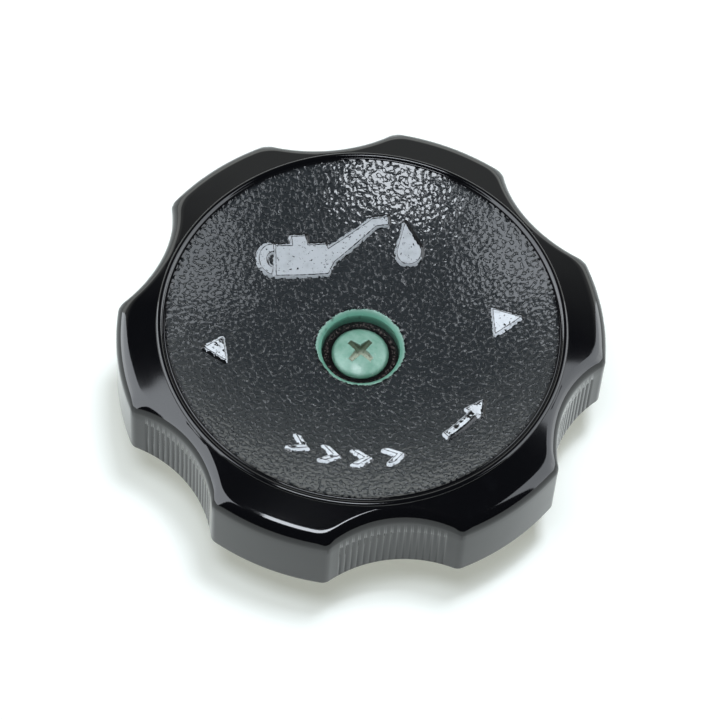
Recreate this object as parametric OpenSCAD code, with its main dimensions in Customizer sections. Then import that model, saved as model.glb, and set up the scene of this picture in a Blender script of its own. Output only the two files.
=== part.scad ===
// Oil filler cap with a lobed hand knob, a bayonet locking plate and a sprung seal.
// Millimetres. +Z is up along the axis. Z = 0 is the underside of the locking plate, on which the cap stands.
// The lobes lie at 0, 60, 120 degrees and so on, and the two bayonet ears point along +X and -X.

/* [Knob outline] */
// Diameter over the lobes
knob_d = 78; // [74:0.5:84]
// Number of lobes
lobes = 6; // [5:1:7]
// Radius of each finger scallop
scallop_r = 20; // [18:0.5:23]
// Depth of a scallop below the lobe circle
scallop_depth = 4.4; // [3.6:0.1:5]
// Upright round on each lobe's two corners
corner_r = 1.8; // [1:0.1:2.4]
// Height of the knob from the skirt's edge to the face rim
knob_h = 15.1; // [14:0.1:18]
// Height of the skirt's edge above the standing face
skirt_z = 11; // [10.6:0.1:14]
// Chamfer round the skirt's edge
skirt_chamfer = 0.4; // [0.2:0.1:0.8]

/* [Knob top] */
// Radius of the dished face
face_r = 31.5; // [30.5:0.25:31.75]
// Depth of the dish at its middle
dish_depth = 7.5; // [6.8:0.1:7.8]
// Outward slope of the land outside the face, in degrees
land_slope = 15; // [10:1:18]
// Round between the land and the skirt
edge_r = 2.7; // [2:0.1:3.2]
// Extra slope of the scallops' rounded edges, in degrees
edge_tilt = 7; // [4:1:9]
// Radius of the fine groove round the face
groove_r = 0.28; // [0.15:0.01:0.35]
// Radius of the bead's section
bead_r = 0.5; // [0.35:0.05:0.6]
// How far the bead stands proud of the land
bead_h = 0.35; // [0.2:0.05:0.5]

/* [Grip grooves] */
// Grooves in each scallop
groove_count = 17; // [9:1:19]
// Spacing of the grooves along the scallop
groove_pitch = 1.05; // [0.9:0.05:1.15]
// Radius of a groove's section
grip_r = 0.3; // [0.2:0.02:0.36]
// Height of the grooves from the skirt's edge
grip_h = 9.5; // [6:0.5:10]

/* [Knob underside] */
// Thickness of the skirt
wall_t = 2.8; // [2:0.1:3.4]
// Thickness of the dished web
web_t = 3; // [2.4:0.1:3.6]
// Wall of the centre boss round the hexagon
boss_wall = 1.25; // [1:0.05:1.5]
// Thickness of the stiffening ribs
rib_t = 1.8; // [1.2:0.1:2.6]
// Wall of the ring round the spring pocket
ring_t = 1.6; // [1.2:0.1:2.4]

/* [Knob screw] */
// Depth of the screw's seat below the face rim
seat_depth = 10.55; // [10:0.05:11]
// Gap between the screw's washer and the counterbore
counterbore_gap = 0.3; // [0.15:0.05:0.8]
// Chamfer at the counterbore's mouth
counterbore_chamfer = 0.8; // [0.3:0.1:1]
// Knob material under the screw's washer
boss_web = 3.05; // [2.6:0.05:3.4]
// Diameter of the screw's thread
thread_d = 5; // [4:0.5:6]
// Length of the screw's shank
screw_l = 12; // [9:0.5:12.5]
// Diameter of the screw's head
head_d = 9.2; // [8.4:0.1:10]
// Height of the straight edge of the head
head_edge = 0.4; // [0.2:0.1:0.8]
// Rise of the head's low dome
head_dome = 1.3; // [0.8:0.1:2]
// Length of the cross recess over its arms
cross_l = 5.2; // [4:0.1:6]
// Width of a cross recess arm
cross_w = 0.95; // [0.7:0.05:1.2]
// Depth of the cross recess
cross_depth = 1.4; // [1:0.1:2]
// Diameter of the washer under the head
washer_d = 12.3; // [11:0.1:12.5]
// Thickness of that washer
washer_t = 1; // [0.6:0.1:1.4]

/* [Spindle] */
// Radius of the spindle's bearing
spindle_r = 5; // [4.6:0.1:5.4]
// Width over the flats of the hexagon that turns the spindle
hex_af = 13.8; // [12.5:0.1:14.2]
// Height of that hexagon
hex_h = 2.1; // [1.7:0.1:2.3]
// How deep the hexagon sits in the knob
hex_seat = 1.5; // [1:0.1:1.6]
// Radius of the riveted end before its flats
tenon_r = 4; // [3.6:0.1:4.4]
// Width over the two flats of the riveted end
tenon_af = 6; // [5:0.1:6.6]
// Recess of the riveted end in the locking plate
rivet_recess = 0.2; // [0.1:0.05:0.5]
// Radius of the riveted flare
rivet_r = 4.9; // [4.6:0.1:5.4]
// Height of the riveted flare
rivet_h = 1; // [0.6:0.1:1.4]
// Section diameter of the ring that seals the spindle
oring_d = 1.36; // [1.1:0.02:1.5]
// Height of that ring above the locking plate
oring_z = 4; // [3.8:0.05:4.1]

/* [Locking plate] */
// Thickness of the locking plate
plate_t = 3.2; // [2.6:0.1:3.6]
// Radius of its hub
hub_r = 12.5; // [11.5:0.1:13.5]
// Radius over the ears
ear_r = 20.8; // [19.5:0.1:21.2]
// Angle that an ear spans, in degrees
ear_angle = 56; // [46:1:64]
// Thickness of an ear at its leading edge
ear_lead_t = 1.4; // [1:0.1:2]
// Where the ramp ends, past the middle of the ear
ramp_end = 2; // [0:0.5:4]
// Height of the stop at the trailing end
stop_h = 1.6; // [1:0.1:2.4]
// Angle that the stop spans, in degrees
stop_angle = 6; // [4:1:9]
// Radial width of the stop
stop_w = 3; // [2:0.1:3.5]

/* [Seal] */
// Thickness of the thrust washer
thrust_t = 0.8; // [0.5:0.1:0.9]
// Radius of the thrust washer
thrust_r = 8.5; // [7:0.1:11]
// Thickness of the seal plate's sheet
sheet_t = 1.2; // [0.9:0.1:1.4]
// Height of the collar that slides on the spindle
collar_h = 4.15; // [3.8:0.05:4.2]
// Radial width of the seal plate's cone
cone_w = 3; // [2.6:0.1:3.4]
// Gap between the gasket and the seal plate's rim
rim_gap = 0.2; // [0.1:0.05:0.6]
// Depth of the turned-down rim
rim_h = 2.4; // [1.8:0.1:3]
// Radial width of the gasket
gasket_w = 5; // [4:0.1:5.5]
// How far the gasket's opening clears the ears
gasket_clear = 0.8; // [0.4:0.1:1.2]
// Thickness of the gasket
gasket_t = 2.6; // [2:0.1:3]
// Bevel of the gasket's outer edges, which clears the bend of the seal plate's rim
gasket_bevel = 0.7; // [0.6:0.05:0.9]
// Gap between the ears and the gasket with the cap off the engine
neck_gap = 4.6; // [4.2:0.1:4.8]
// How far the seal can rise
lift = 2; // [1:0.1:2.1]

/* [Spring] */
// Wire diameter
wire_d = 1.4; // [1:0.1:1.5]
// Gap between the coil and the edge of the hole in the ring that it stands on
coil_gap = 0.5; // [0.3:0.05:0.65]
// Turns of the coil
turns = 4.25; // [3.25:0.25:4.25]
// Length of the spring with the cap off the engine
spring_h = 9.9; // [9.6:0.1:10.1]
// Gap between the coil and the knob's spring pocket
pocket_gap = 1; // [0.5:0.1:1.2]
// Thickness of the ring that the spring stands on
seat_t = 0.8; // [0.5:0.1:0.9]
// Radial width of that ring
seat_w = 2.75; // [2.4:0.05:3]

/* [Hidden] */
$fn = 96;
// Running clearance between the seal plate and the spindle
run_fit = 0.08;
// Clearance between pieces that are assembled by hand
free_fit = 0.05;
// Clearance over a piece that moves
sweep_fit = 0.3;
// Overlap that joins solids or carries a cut past a face
eps = 0.5;
// How far a round stops short of true tangency, so that its faces cross cleanly
blend = 0.02;
// How far the land starts below the face rim, and how far the bead reaches over the groove beside it
land_drop = 0.05;
bead_sink = 0.1;

knob_r = knob_d / 2;
face_z = skirt_z + knob_h;
dish_r = (pow(face_r, 2) + pow(dish_depth, 2)) / (2 * dish_depth);
dish_z = face_z - dish_depth + dish_r;
scallop_s = knob_r - scallop_depth + scallop_r;
bead_ring_r = face_r + groove_r + bead_r - bead_sink;

// The sloping land and the round below it, both measured in the plane of a lobe
round_x = knob_r - edge_r;
tangent_x = round_x + edge_r * sin(land_slope);
tangent_z = land_z(tangent_x);
round_z = tangent_z - edge_r * cos(land_slope);

// The scallop's rounded edge is part of a ring whose axis leans outward with the land
tilt = land_slope + edge_tilt;
ring_in_r = scallop_r * cos(tilt) - edge_r * (1 - cos(tilt));
ring_end_h = -edge_r * (1 - sin(tilt));
ring_wall_r = ring_in_r + edge_r * (1 - cos(tilt));
ring_x = knob_r - scallop_depth + ring_wall_r * cos(tilt) - ring_end_h * sin(tilt);
ring_top_x = ring_x - (ring_in_r + edge_r) * cos(tilt);
ring_z = land_z(ring_top_x) - (ring_in_r + edge_r) * sin(tilt);

seat_z = face_z - seat_depth;
socket_z = seat_z - boss_web;
boss_z = socket_z - hex_seat;
hex_z = socket_z - hex_h;
thrust_z = plate_t + thrust_t;
pan_z = thrust_z + free_fit;
seat_ring_z = pan_z + sheet_t;
spring_z = seat_ring_z + seat_t;
spring_top_z = spring_z + spring_h;
gasket_z = plate_t + neck_gap;
flange_z = gasket_z + gasket_t;
rib_z = flange_z + sheet_t + lift + sweep_fit;
counterbore_r = washer_d / 2 + counterbore_gap;
bore_r = spindle_r + run_fit;
boss_r = hex_af / 2 / cos(30) + boss_wall;
seat_in_r = boss_r + sweep_fit;
seat_out_r = seat_in_r + seat_w;
coil_r = seat_in_r + coil_gap + wire_d / 2;
pocket_r = coil_r + wire_d / 2 + pocket_gap;
pan_r = seat_out_r + sweep_fit / 2 + sheet_t;
flange_in_r = pan_r + cone_w;
gasket_in_r = ear_r + gasket_clear;
gasket_r = gasket_in_r + gasket_w;
flange_r = gasket_r + rim_gap + sheet_t;

// Height of the land at radius x
function land_z(x) = face_z - land_drop - (x - face_r) * tan(land_slope);

// Points of a sheet of thickness t whose middle runs through path: one side out, the other side back
function unit(v) = v / norm(v);
function side(v) = [-v[1], v[0]];
function mitre(path, i) =
    let(a = unit(path[max(i, 1)] - path[max(i, 1) - 1]))
    let(b = unit(path[min(i, len(path) - 2) + 1] - path[min(i, len(path) - 2)]))
    let(n = unit(side(a) + side(b)))
    n / (n * side(a));
function sheet(path, t) = concat(
    [for (i = [0 : len(path) - 1]) path[i] + mitre(path, i) * t / 2],
    [for (i = [len(path) - 1 : -1 : 0]) path[i] - mitre(path, i) * t / 2]
);

// Height of the spring's wire after t turns: a closed turn at each end and an even pitch between
closed_pitch = wire_d + 2 * free_fit;
open_pitch = (spring_h - wire_d - 2 * closed_pitch) / (turns - 2);
function coil_z(t) =
    closed_pitch * (min(t, 1) + max(0, t - turns + 1)) + open_pitch * max(0, min(t, turns - 1) - 1);

// An arc of points about a centre, from angle a to angle b
function arc(centre, r, a, b, steps = 5) =
    [for (i = [0 : steps]) centre + r * [cos(a + (b - a) * i / steps), sin(a + (b - a) * i / steps)]];

// A flat ring
module ring(r_out, r_in, h) {
    difference() {
        cylinder(r = r_out, h = h);
        translate([0, 0, -eps]) cylinder(r = r_in, h = h + 2 * eps);
    }
}

// A wedge of the plane between two angles, as far as r
module wedge(r, a, b) {
    middle = (a + b) / 2;
    polygon(concat([[0, 0]], [for (t = [a, middle, b]) 2 * r * [cos(t), sin(t)]]));
}

// Places its children once for each scallop, on a scallop's own axis of symmetry
module each_scallop() {
    for (i = [0 : lobes - 1]) rotate((i + 0.5) * 360 / lobes) children();
}

// The knob's plan: a circle with finger scallops, drawn in by wall, with the lobes' corners rounded
module plan(wall = 0) {
    corner = corner_r;
    far = knob_r - corner;
    reach = scallop_r + corner;
    turn = acos((pow(far, 2) + pow(scallop_s, 2) - pow(reach, 2)) / (2 * far * scallop_s));
    sharp = acos((pow(knob_r, 2) + pow(scallop_s, 2) - pow(scallop_r, 2)) / (2 * knob_r * scallop_s));
    centre = far * [cos(turn), sin(turn)];
    on_rim = knob_r * [cos(turn), sin(turn)];
    on_scallop = [scallop_s, 0] + scallop_r * unit(centre - [scallop_s, 0]);
    tip = knob_r * [cos(sharp), sin(sharp)];
    difference() {
        circle(r = knob_r - wall, $fn = 180);
        each_scallop() translate([scallop_s, 0]) circle(r = scallop_r + wall, $fn = 180);
        if (wall == 0) each_scallop() for (m = [0, 1]) mirror([0, m]) difference() {
            polygon([centre, 2 * on_rim - centre, 2 * tip - centre, 2 * on_scallop - centre]);
            translate(centre) circle(r = corner + blend);
        }
    }
}

// Half section of the lobes: chamfered skirt, round edge and sloping land
module lobe_section() {
    foot_x = knob_r - skirt_chamfer;
    skirt = [[0, skirt_z], [foot_x, skirt_z], [knob_r, skirt_z + skirt_chamfer], [knob_r, round_z]];
    land = [[round_x, round_z], [tangent_x, tangent_z], [face_r, land_z(face_r)], [0, land_z(face_r)]];
    polygon(concat(skirt, land));
    translate([round_x, round_z]) circle(r = edge_r);
}

// Cutter for a scallop's rounded upper edge, as a half section about the leaning axis
module scallop_edge_section() {
    difference() {
        translate([0, ring_end_h]) square([ring_in_r + edge_r - blend, knob_h]);
        translate([ring_in_r + edge_r - blend, -edge_r]) circle(r = edge_r);
    }
}

// The knob's outer form
module knob_outside() {
    difference() {
        intersection() {
            rotate_extrude($fn = 180) lobe_section();
            translate([0, 0, skirt_z - eps]) linear_extrude(knob_h + 2 * eps) plan();
        }
        each_scallop() {
            translate([ring_x, 0, ring_z + 2 * blend]) rotate([0, tilt, 0])
                rotate_extrude($fn = 180) scallop_edge_section();
            translate([scallop_s, 0, skirt_z - skirt_chamfer])
                cylinder(r1 = scallop_r + 2 * skirt_chamfer, r2 = scallop_r, h = 2 * skirt_chamfer);
        }
    }
    rotate_extrude() translate([bead_ring_r, land_z(bead_ring_r) + bead_h - bead_r])
        circle(r = bead_r, $fn = 24);
}

// The hollow under the dished web, inside the skirt
module knob_hollow() {
    difference() {
        translate([0, 0, skirt_z - eps]) linear_extrude(knob_h - edge_r - web_t / 2 + eps) plan(wall_t);
        translate([0, 0, dish_z]) sphere(r = dish_r + web_t, $fn = 180);
    }
}

// Ribs, spring ring and centre boss under the web
module knob_inside() {
    top = face_z - web_t;
    rib_in = pocket_r + ring_t / 2;
    for (i = [0 : 2 * lobes - 1]) rotate(i * 180 / lobes) translate([rib_in, -rib_t / 2, rib_z + eps]) {
        rib_out = (i % 2 == 0 ? knob_r : knob_r - scallop_depth) - wall_t / 2;
        cube([rib_out - rib_in, rib_t, top - rib_z - eps]);
    }
    translate([0, 0, rib_z]) cylinder(r = pocket_r + ring_t, h = top - rib_z);
    translate([0, 0, boss_z]) cylinder(r = boss_r, h = top - boss_z);
}

// Moulded hand knob
module knob() color([0.06, 0.06, 0.07]) {
    mouth_z = dish_z - sqrt(pow(dish_r, 2) - pow(counterbore_r, 2));
    mouth_h = 3 * counterbore_chamfer;
    socket_d = hex_af / cos(30) + 2 * free_fit;
    difference() {
        union() {
            difference() {
                knob_outside();
                knob_hollow();
            }
            knob_inside();
        }
        translate([0, 0, dish_z]) sphere(r = dish_r, $fn = 180);
        rotate_extrude() translate([face_r, face_z]) circle(r = groove_r, $fn = 24);
        translate([0, 0, seat_z]) cylinder(r = counterbore_r, h = seat_depth);
        translate([0, 0, mouth_z - counterbore_chamfer])
            cylinder(r1 = counterbore_r, r2 = counterbore_r + mouth_h, h = mouth_h);
        translate([0, 0, boss_z]) ring(pocket_r, boss_r, spring_top_z - boss_z);
        translate([0, 0, socket_z - eps]) cylinder(r = thread_d / 2 + 5 * free_fit, h = boss_web + 2 * eps);
        translate([0, 0, boss_z - eps]) cylinder(d = socket_d, h = hex_seat + eps, $fn = 6);
        each_scallop() translate([scallop_s, 0, skirt_z - eps]) for (i = [0 : groove_count - 1])
            rotate(180 + (i - (groove_count - 1) / 2) * groove_pitch / scallop_r * 180 / PI)
                translate([scallop_r, 0, 0]) cylinder(r = grip_r, h = grip_h + eps, $fn = 16);
    }
}

// Low-domed cross-recess screw that holds the knob on the spindle
module knob_screw() color([0.52, 0.78, 0.67]) {
    head_z = seat_z + washer_t;
    dome_r = (pow(head_d / 2, 2) + pow(head_dome, 2)) / (2 * head_dome);
    top_z = head_z + head_edge + head_dome;
    translate([0, 0, head_z - screw_l]) cylinder(d = thread_d - 2 * free_fit, h = screw_l + head_edge);
    difference() {
        intersection() {
            translate([0, 0, head_z]) cylinder(d = head_d, h = head_edge + head_dome);
            translate([0, 0, top_z - dome_r]) sphere(r = dome_r, $fn = 120);
        }
        for (a = [0, 90]) rotate(a + 45) translate([-cross_l / 2, -cross_w / 2, top_z - cross_depth])
            cube([cross_l, cross_w, cross_depth + eps]);
        translate([0, 0, top_z - cross_depth])
            cylinder(r1 = cross_w / 2, r2 = cross_w * 1.1, h = cross_depth + free_fit);
    }
}

// Plain washer under the screw's head
module screw_washer() color([0.22, 0.2, 0.19]) {
    translate([0, 0, seat_z]) ring(washer_d / 2, thread_d / 2 + 3 * free_fit, washer_t);
}

// Steel spindle: hexagon, bearing with a ring groove, and a riveted end with two flats
module spindle() color([0.68, 0.66, 0.6]) {
    groove_w = oring_d + 4 * free_fit;
    difference() {
        union() {
            translate([0, 0, hex_z]) cylinder(d = hex_af / cos(30), h = hex_h, $fn = 6);
            translate([0, 0, plate_t]) cylinder(r = spindle_r, h = hex_z - plate_t + eps);
            intersection() {
                translate([0, 0, rivet_recess]) cylinder(r = tenon_r, h = plate_t);
                translate([-tenon_r, -tenon_af / 2, 0]) cube([2 * tenon_r, tenon_af, 2 * plate_t]);
            }
            translate([0, 0, rivet_recess]) cylinder(r1 = rivet_r, r2 = rivet_r - rivet_h, h = rivet_h);
        }
        translate([0, 0, seat_z + washer_t - screw_l - eps]) cylinder(d = thread_d, h = screw_l);
        translate([0, 0, plate_t + oring_z - groove_w / 2])
            ring(spindle_r + eps, spindle_r - oring_d, groove_w);
    }
}

// Rubber ring that seals the spindle in the seal plate's collar
module stem_oring() color([0.08, 0.08, 0.08]) {
    translate([0, 0, plate_t + oring_z]) rotate_extrude()
        translate([spindle_r + run_fit - free_fit / 2 - oring_d / 2, 0]) circle(d = oring_d, $fn = 24);
}

// Fibre washer on which the seal plate rests and turns
module thrust_washer() color([0.45, 0.2, 0.14]) {
    translate([0, 0, plate_t]) ring(thrust_r, spindle_r + free_fit, thrust_t);
}

// Steel locking plate: a hub and two ears with ramps and stops
module locking_plate() color([0.72, 0.69, 0.58]) {
    half = ear_angle / 2;
    lead_y = ear_r * sin(half) + ramp_end;
    ramp = atan((plate_t - ear_lead_t) / lead_y);
    difference() {
        union() {
            for (a = [0, 180]) rotate(a) {
                difference() {
                    linear_extrude(plate_t) intersection() {
                        circle(r = ear_r);
                        wedge(ear_r, -half, half);
                    }
                    translate([0, ramp_end, plate_t]) rotate([ramp, 0, 0])
                        translate([0, -2 * ear_r, 0]) cube([2 * ear_r, 2 * ear_r, plate_t]);
                }
                linear_extrude(plate_t + stop_h) intersection() {
                    difference() {
                        circle(r = ear_r);
                        circle(r = ear_r - stop_w);
                    }
                    wedge(ear_r, half - stop_angle, half);
                }
            }
            cylinder(r = hub_r, h = plate_t);
        }
        intersection() {
            translate([0, 0, -eps]) cylinder(r = tenon_r + free_fit, h = plate_t + 2 * eps);
            translate([-2 * tenon_r, -tenon_af / 2 - free_fit, -plate_t])
                cube([4 * tenon_r, tenon_af + 2 * free_fit, 3 * plate_t]);
        }
        translate([0, 0, -eps]) cylinder(r = rivet_r + free_fit, h = rivet_recess + eps);
        translate([0, 0, rivet_recess])
            cylinder(r1 = rivet_r + free_fit, r2 = rivet_r - rivet_h, h = rivet_h + free_fit);
    }
}

// Coil spring with a closed turn at each end, swept along its own wire
module seal_spring() color([0.6, 0.6, 0.62]) {
    sides = 8;
    per_turn = 24;
    rings = turns * per_turn;
    wire_r = wire_d / 2;
    points = [for (i = [0 : rings], j = [0 : sides - 1])
        let(r = coil_r + wire_r * cos(j * 360 / sides), a = i * 360 / per_turn)
        let(z = spring_z + wire_r + coil_z(i / per_turn) + wire_r * sin(j * 360 / sides))
        [r * cos(a), r * sin(a), z]];
    walls = [for (i = [0 : rings - 1], j = [0 : sides - 1])
        let(a = i * sides + j, b = i * sides + (j + 1) % sides)
        each [[a, a + sides, b + sides], [a, b + sides, b]]];
    ends = [[for (j = [0 : sides - 1]) j], [for (j = [sides - 1 : -1 : 0]) rings * sides + j]];
    polyhedron(points = points, faces = concat(walls, ends), convexity = 6);
}

// Steel ring between the spring and the seal plate
module spring_seat() color([0.7, 0.7, 0.68]) {
    translate([0, 0, seat_ring_z]) ring(seat_out_r, seat_in_r, seat_t);
}

// Pressed steel plate that carries the gasket and slides on the spindle
module seal_plate() color([0.73, 0.7, 0.6]) {
    mid = pan_z + sheet_t / 2;
    top = flange_z + sheet_t / 2;
    bend = sheet_t;
    lip_r = flange_r - sheet_t / 2;
    cone_lean = 36;
    path = concat(
        [[bore_r + sheet_t / 2, pan_z + collar_h]],
        arc([bore_r + sheet_t / 2 + bend, mid + bend], bend, 180, 270),
        arc([pan_r - bend, mid + bend], bend, -90, -cone_lean),
        arc([flange_in_r + bend * 0.4, top - bend], bend, 180 - cone_lean, 90),
        arc([lip_r - bend, top - bend], bend, 90, 0),
        [[lip_r, top + sheet_t / 2 - rim_h - sheet_t / 2]]
    );
    rotate_extrude() polygon(sheet(path, sheet_t));
}

// Rubber gasket that seals on the filler neck
module gasket() color([0.09, 0.09, 0.09]) {
    bevel_r = gasket_r - gasket_bevel;
    lower = [[gasket_in_r, gasket_z], [bevel_r, gasket_z], [gasket_r, gasket_z + gasket_bevel]];
    upper = [[gasket_r, flange_z - gasket_bevel], [bevel_r, flange_z], [gasket_in_r, flange_z]];
    rotate_extrude() polygon(concat(lower, upper));
}

knob();
knob_screw();
screw_washer();
spindle();
stem_oring();
thrust_washer();
locking_plate();
seal_spring();
spring_seat();
seal_plate();
gasket();
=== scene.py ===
"""An oil filler cap: a lobed hand knob screwed to a bayonet locking plate, with a sprung seal between them.

Metres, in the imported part's own frame. +Z is the cap's axis, and Z = 0 is the underside of the locking plate.
The pieces are worked out in millimetres and scaled as they become meshes.
"""

import math

import bpy
import numpy as np
from mathutils import Matrix, Vector


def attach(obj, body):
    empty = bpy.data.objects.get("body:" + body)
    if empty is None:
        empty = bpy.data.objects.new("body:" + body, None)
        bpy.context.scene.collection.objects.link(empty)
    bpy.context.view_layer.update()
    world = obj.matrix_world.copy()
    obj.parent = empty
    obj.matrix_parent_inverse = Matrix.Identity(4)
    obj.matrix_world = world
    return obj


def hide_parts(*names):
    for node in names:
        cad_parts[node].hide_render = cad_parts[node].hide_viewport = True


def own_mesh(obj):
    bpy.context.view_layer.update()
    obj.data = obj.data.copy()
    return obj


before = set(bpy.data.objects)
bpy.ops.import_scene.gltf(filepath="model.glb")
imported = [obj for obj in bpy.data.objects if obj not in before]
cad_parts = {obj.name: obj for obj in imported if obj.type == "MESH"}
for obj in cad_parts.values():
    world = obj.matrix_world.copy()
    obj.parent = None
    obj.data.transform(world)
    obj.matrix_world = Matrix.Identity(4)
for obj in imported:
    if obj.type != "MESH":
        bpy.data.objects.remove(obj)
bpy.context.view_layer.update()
scene = bpy.context.scene
scene.view_settings.view_transform = "Standard"
mm = 0.001

# Camera
# It stands about 0.6 m from the cap, 59 degrees above the table, with a long lens.
# The picture's own axes are turned by a fifth of a lobe from the cap's.
lens_mm, sensor_mm = 186.85, 36
camera_distance = 587.7
camera_elevation, camera_roll = math.radians(59.32), math.radians(4.82)
picture_turn = math.radians(-12.06)
aim = np.array([0.055, -6.667, 26.1])


def turned(v, angle):
    """A vector, or rows of vectors, turned about Z by an angle."""
    c, s = math.cos(angle), math.sin(angle)
    return np.asarray(v, float) @ np.array([[c, s, 0], [-s, c, 0], [0, 0, 1]])


back = np.array([0, -math.cos(camera_elevation), math.sin(camera_elevation)])
level_right = np.array([1, 0, 0])
level_up = np.array([0, math.sin(camera_elevation), math.cos(camera_elevation)])
rolled_right = level_right * math.cos(camera_roll) + level_up * math.sin(camera_roll)
rolled_up = level_up * math.cos(camera_roll) - level_right * math.sin(camera_roll)
camera_pose = np.eye(4)
camera_pose[:3, :3] = turned([rolled_right, rolled_up, back], picture_turn).T
camera_pose[:3, 3] = turned(aim + back * camera_distance, picture_turn) * mm
camera = bpy.data.objects.new("camera", bpy.data.cameras.new("camera"))
camera.data.lens, camera.data.sensor_width = lens_mm, sensor_mm
camera.data.clip_start, camera.data.clip_end = 0.01, 20
camera.matrix_world = Matrix(camera_pose.tolist())
scene.collection.objects.link(camera)
scene.camera = camera

# Table and studio light
# A pale table in a studio that is pale low down at the back and dark overhead and behind the camera. A soft
# box gives the highlights, a top lamp hidden from gloss gives the shadow, and two panels show only in
# reflections. The camera and gloss also see the table glow a little, so that it reads as white.
table_radius, table_white, lamp_tint = 3.0, "#d6d9d9", "#f2f8ff"
table_glow, glow_tint = 0.35, "#fbfff0"
soft_box_width, soft_box_depth, soft_box_distance, soft_box_radiance = 0.56, 0.36, 1.5, 16.0
soft_box_height, soft_box_side = math.radians(76), math.radians(-109)
top_lamp_size, top_lamp_distance, top_lamp_radiance = 0.22, 1.2, 58.0
top_lamp_height, top_lamp_side = math.radians(84), math.radians(10)
panel_distance = 0.6
left_panel_side, left_panel_spread, left_panel_top, left_panel_radiance = 181, 33, 66, 4.6
right_panel_side, right_panel_spread, right_panel_top, right_panel_radiance = 11, 31, 59, 3.3
horizon_colour, ceiling_colour = "#f2f6f2", "#3a3d42"
horizon_strength, wall_strength = 1.9, 0.5


def linear(hex_colour):
    """An sRGB hex colour as linear red, green, blue and alpha."""
    s = np.array([int(hex_colour[i:i + 2], 16) for i in (1, 3, 5)]) / 255
    rgb = np.where(s <= 0.04045, s / 12.92, ((s + 0.055) / 1.055) ** 2.4)
    return (*rgb.tolist(), 1.0)


def add(tree, kind, inputs=(), **settings):
    """Adds a node with its settings. An input takes a value, or a link where it is another node's output."""
    made = tree.nodes.new("ShaderNode" + kind)
    for name, value in settings.items():
        setattr(made, name, value)
    for name, value in dict(inputs).items():
        if isinstance(value, bpy.types.NodeSocket):
            tree.links.new(value, made.inputs[name])
        else:
            made.inputs[name].default_value = value
    return made


def area_lamp(name, width, height, place, faces, radiance):
    """A lamp of one radiance over its rectangle, at a place in metres and facing along a direction."""
    lamp = bpy.data.lights.new(name, "AREA")
    lamp.shape, lamp.size, lamp.size_y = "RECTANGLE", width, height
    lamp.energy = radiance * math.pi * width * height
    lamp.color = linear(lamp_tint)[:3]
    made = bpy.data.objects.new(name, lamp)
    made.location = turned(place, picture_turn).tolist()
    made.rotation_mode = "QUATERNION"
    made.rotation_quaternion = Vector(turned(faces, picture_turn).tolist()).to_track_quat("-Z", "Y")
    made.visible_camera = False
    scene.collection.objects.link(made)
    return made


def tall_panel(name, side, spread, top, radiance):
    """A panel on the table, spanning an angle to either side and up to a height angle, all in degrees."""
    side, width = math.radians(side), 2 * panel_distance * math.tan(math.radians(spread))
    height = panel_distance * math.tan(math.radians(top))
    out = np.array([math.cos(side), math.sin(side), 0])
    panel = area_lamp(name, width, height, out * panel_distance + [0, 0, height / 2], -out, radiance)
    panel.visible_diffuse = False


def direction(height, side):
    """The unit vector at a height angle and a side angle."""
    return np.array([math.cos(height) * math.cos(side), math.cos(height) * math.sin(side), math.sin(height)])


box_ray = direction(soft_box_height, soft_box_side)
area_lamp("soft_box", soft_box_width, soft_box_depth, box_ray * soft_box_distance, -box_ray,
          soft_box_radiance)
top_ray = direction(top_lamp_height, top_lamp_side)
top_lamp = area_lamp("top_lamp", top_lamp_size, top_lamp_size, top_ray * top_lamp_distance, -top_ray,
                     top_lamp_radiance)
top_lamp.visible_glossy = False
tall_panel("left_panel", left_panel_side, left_panel_spread, left_panel_top, left_panel_radiance)
tall_panel("right_panel", right_panel_side, right_panel_spread, right_panel_top, right_panel_radiance)

# The world is brightest along the back horizon. The camera itself sees plain white.
world = bpy.data.worlds.new("studio")
scene.world = world
world.use_nodes = True
tree = world.node_tree
tree.nodes.clear()
ray = add(tree, "TexCoord").outputs["Generated"]
height = add(tree, "SeparateXYZ", {0: ray}).outputs["Z"]
low_ends = {"Value": height, "From Min": 0.38, "From Max": 0.26}
low = add(tree, "MapRange", low_ends, interpolation_type="SMOOTHSTEP")
low = add(tree, "Math", {0: low.outputs[0], 1: horizon_strength - wall_strength}, operation="MULTIPLY")
wall = add(tree, "MapRange", {"Value": height, "From Min": 0.7, "From Max": 0.5, "To Max": wall_strength})
pale = add(tree, "Math", {0: low.outputs[0], 1: wall.outputs[0]}, operation="ADD")
away = turned([0, 1, 0], picture_turn).tolist()
facing = add(tree, "VectorMath", {0: ray, 1: away}, operation="DOT_PRODUCT")
behind = add(tree, "MapRange", {"Value": facing.outputs["Value"], "From Min": -0.1, "From Max": 0.4})
pale = add(tree, "Math", {0: pale.outputs[0], 1: behind.outputs[0]}, operation="MULTIPLY")
back_wall = add(tree, "Background", {"Color": linear(horizon_colour), "Strength": pale.outputs[0]})
ceiling = add(tree, "Background", {"Color": linear(ceiling_colour), "Strength": 1.0})
studio = add(tree, "AddShader", {0: back_wall.outputs[0], 1: ceiling.outputs[0]})
white = add(tree, "Background", {"Color": (1, 1, 1, 1), "Strength": 1.0})
seen = add(tree, "LightPath").outputs["Is Camera Ray"]
both = add(tree, "MixShader", {0: seen, 1: studio.outputs[0], 2: white.outputs[0]})
add(tree, "OutputWorld", {"Surface": both.outputs[0]})


def new_material(name):
    """An empty material and its node tree."""
    made = bpy.data.materials.new(name)
    made.use_nodes = True
    made.node_tree.nodes.clear()
    return made, made.node_tree


def maths(tree, operation, a, b=0.0):
    """One operation on two values or outputs."""
    return add(tree, "Math", {0: a, 1: b}, operation=operation).outputs[0]


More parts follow.
